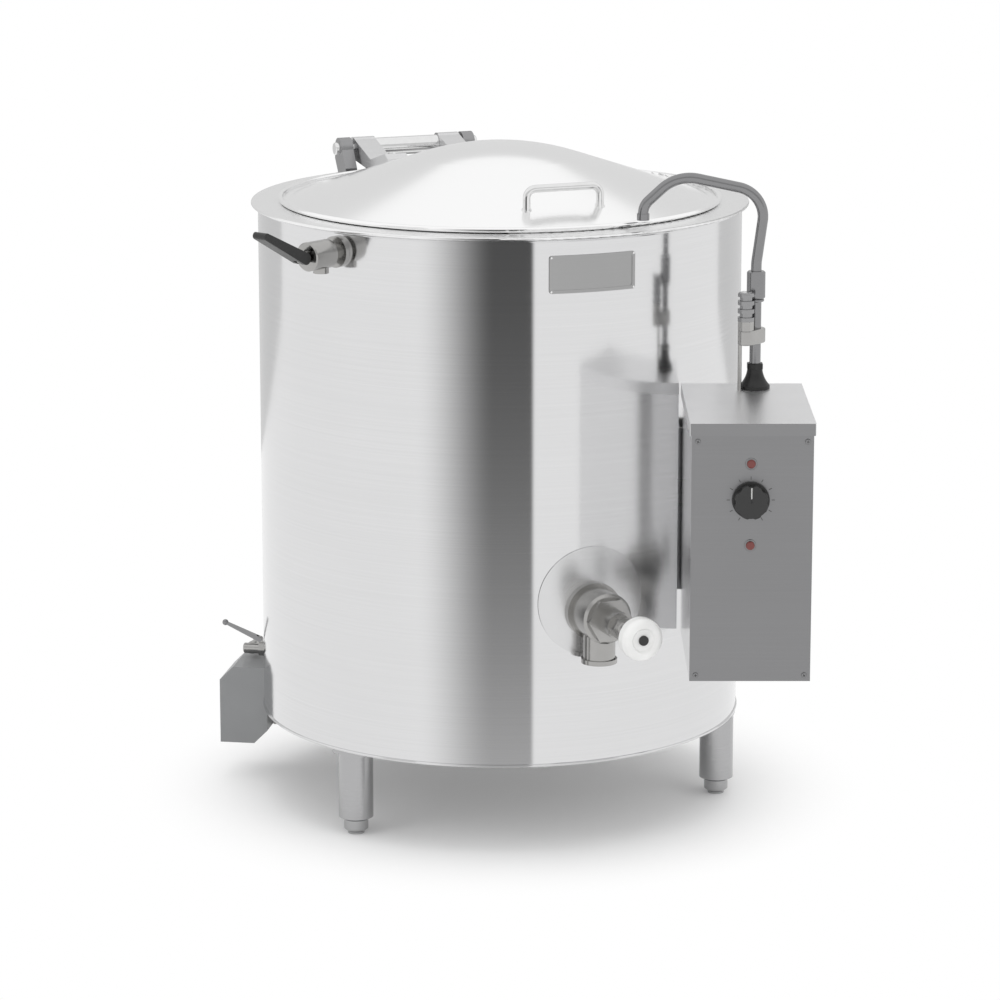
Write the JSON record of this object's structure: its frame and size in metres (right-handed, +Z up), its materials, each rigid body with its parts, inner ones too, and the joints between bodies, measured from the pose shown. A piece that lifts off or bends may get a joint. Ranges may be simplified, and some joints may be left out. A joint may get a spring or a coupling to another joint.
{
  "type": "floor-standing kettle",
  "caption": "Floor-standing steam-jacketed stock kettle with a hinged domed lid, draw-off valve, control box and swinging fill faucet on three legs.",
  "frame": {"origin": "on the floor, on the kettle's vertical axis", "axes": "+Z up along the kettle's axis, -Y towards the front of the control box"},
  "size_m": [0.915, 1.0475, 1.0468],
  "materials": {
    "brushed_steel": "brushed",
    "polished_steel": "polished",
    "box_sheet": "satin",
    "plate_sheet": "satin",
    "plated_bronze": "cast, plated",
    "dark_bronze": "satin",
    "jacket_steel": "mill",
    "black_plastic": "matte",
    "white_plastic": "gloss",
    "lens": "gloss",
    "insulation": "fibre",
    "glass": "clear",
    "grey_enamel": "gloss"
  },
  "bodies": {
    "kettle": {"outer_shell": "brushed_steel", "rim_deck": "brushed_steel", "kettle_vessel": "brushed_steel", "draw_off_tube": "brushed_steel", "steam_jacket": "jacket_steel", "jacket_sump": "jacket_steel", "heating_elements": "jacket_steel", "insulation": "insulation", "base_plate": "brushed_steel", "leg_front_left": "brushed_steel", "leg_front_right": "brushed_steel", "leg_rear": "brushed_steel", "valve_escutcheon": "brushed_steel", "name_plate": "plate_sheet", "valve_body": "plated_bronze", "valve_bonnet": "plated_bronze", "packing_nut": "plated_bronze", "hinge_brackets": "brushed_steel", "hinge_pin": "polished_steel", "spring_tube": "brushed_steel", "control_box": "brushed_steel", "box_hood": "brushed_steel", "control_cover": "box_sheet", "cover_screws": "polished_steel", "mounting_channel": "box_sheet", "indicator_lights": "lens", "thermostat_body": "black_plastic", "contactor": "black_plastic", "terminal_block": "white_plastic", "faucet_base": "dark_bronze", "faucet_riser": "polished_steel", "water_inlet": "plated_bronze", "faucet_body": "brushed_steel", "swivel_nut": "polished_steel", "vent_pipe": "jacket_steel", "vent_valve": "dark_bronze", "relief_pipe": "jacket_steel", "relief_valve": "plated_bronze", "junction_box": "grey_enamel", "junction_cover": "grey_enamel", "conduit_elbow": "jacket_steel", "pressure_gauge": "polished_steel", "sight_fittings": "plated_bronze", "sight_tube": "glass"},
    "lid": {"lid": "polished_steel", "lid_handle": "polished_steel", "hinge_arms": "brushed_steel"},
    "spout": {"spout": "polished_steel", "spout_nozzle": "polished_steel"},
    "faucet_handle": {"faucet_handle": "brushed_steel"},
    "thermostat_dial": {"thermostat_dial": "black_plastic"},
    "draw_off_plug": {"valve_plug": "plated_bronze"},
    "draw_off_knob": {"valve_stem": "brushed_steel", "valve_knob": "white_plastic", "knob_cap": "black_plastic"},
    "vent_lever": {"vent_lever": "black_plastic"},
    "relief_lever": {"relief_lever": "brushed_steel"},
    "foot_front_left": {"foot_front_left": "brushed_steel"},
    "foot_front_right": {"foot_front_right": "brushed_steel"},
    "foot_rear": {"foot_rear": "brushed_steel"}
  },
  "joints": [
    {"name": "lid_hinge", "type": "hinge", "parent": "kettle", "child": "lid", "pos_m": [-0.15833, 0.40194, 0.986], "axis": [-0.9304, -0.3665, 0], "range_deg": [0, 95]},
    {"name": "spout_swing", "type": "hinge", "parent": "kettle", "child": "spout", "pos_m": [0.386, -0.301, 0.9], "axis": [0, 0, -1], "range_deg": [-120, 10]},
    {"name": "faucet_turn", "type": "hinge", "parent": "kettle", "child": "faucet_handle", "pos_m": [0.37, -0.324, 0.84], "axis": [0, 0, 1], "range_deg": [0, 270]},
    {"name": "thermostat_turn", "type": "hinge", "parent": "kettle", "child": "thermostat_dial", "pos_m": [0.366, -0.5744, 0.599], "axis": [0, 1, 0], "range_deg": [0, 300]},
    {"name": "plug_slide", "type": "slide", "parent": "kettle", "child": "draw_off_plug", "axis": [0.3665, -0.9304, 0], "range_m": [0, 0.032]},
    {"name": "knob_turn", "type": "hinge", "parent": "draw_off_plug", "child": "draw_off_knob", "pos_m": [0.20268, -0.51452, 0.38], "axis": [0.3665, -0.9304, 0], "range_deg": [0, 1440]},
    {"name": "vent_lever_lift", "type": "hinge", "parent": "kettle", "child": "vent_lever", "pos_m": [-0.29697, -0.35391, 0.921], "axis": [-0.766, 0.6428, 0], "range_deg": [0, 58]},
    {"name": "relief_lever_lift", "type": "hinge", "parent": "kettle", "child": "relief_lever", "pos_m": [-0.39195, 0.06911, 0.221], "axis": [0.1736, 0.9848, 0], "range_deg": [0, 22], "stiffness_Nm_per_rad": 0.3, "springref_deg": -11.46},
    {"name": "foot_front_left_screw", "type": "slide", "parent": "kettle", "child": "foot_front_left", "axis": [0, 0, -1], "range_m": [0, 0.02]},
    {"name": "foot_front_right_screw", "type": "slide", "parent": "kettle", "child": "foot_front_right", "axis": [0, 0, -1], "range_m": [0, 0.02]},
    {"name": "foot_rear_screw", "type": "slide", "parent": "kettle", "child": "foot_rear", "axis": [0, 0, -1], "range_m": [0, 0.02]}
  ],
  "couplings": [
    {"joint": "plug_slide", "follows": "knob_turn", "m_per_rad": 0.0012732}
  ]
}
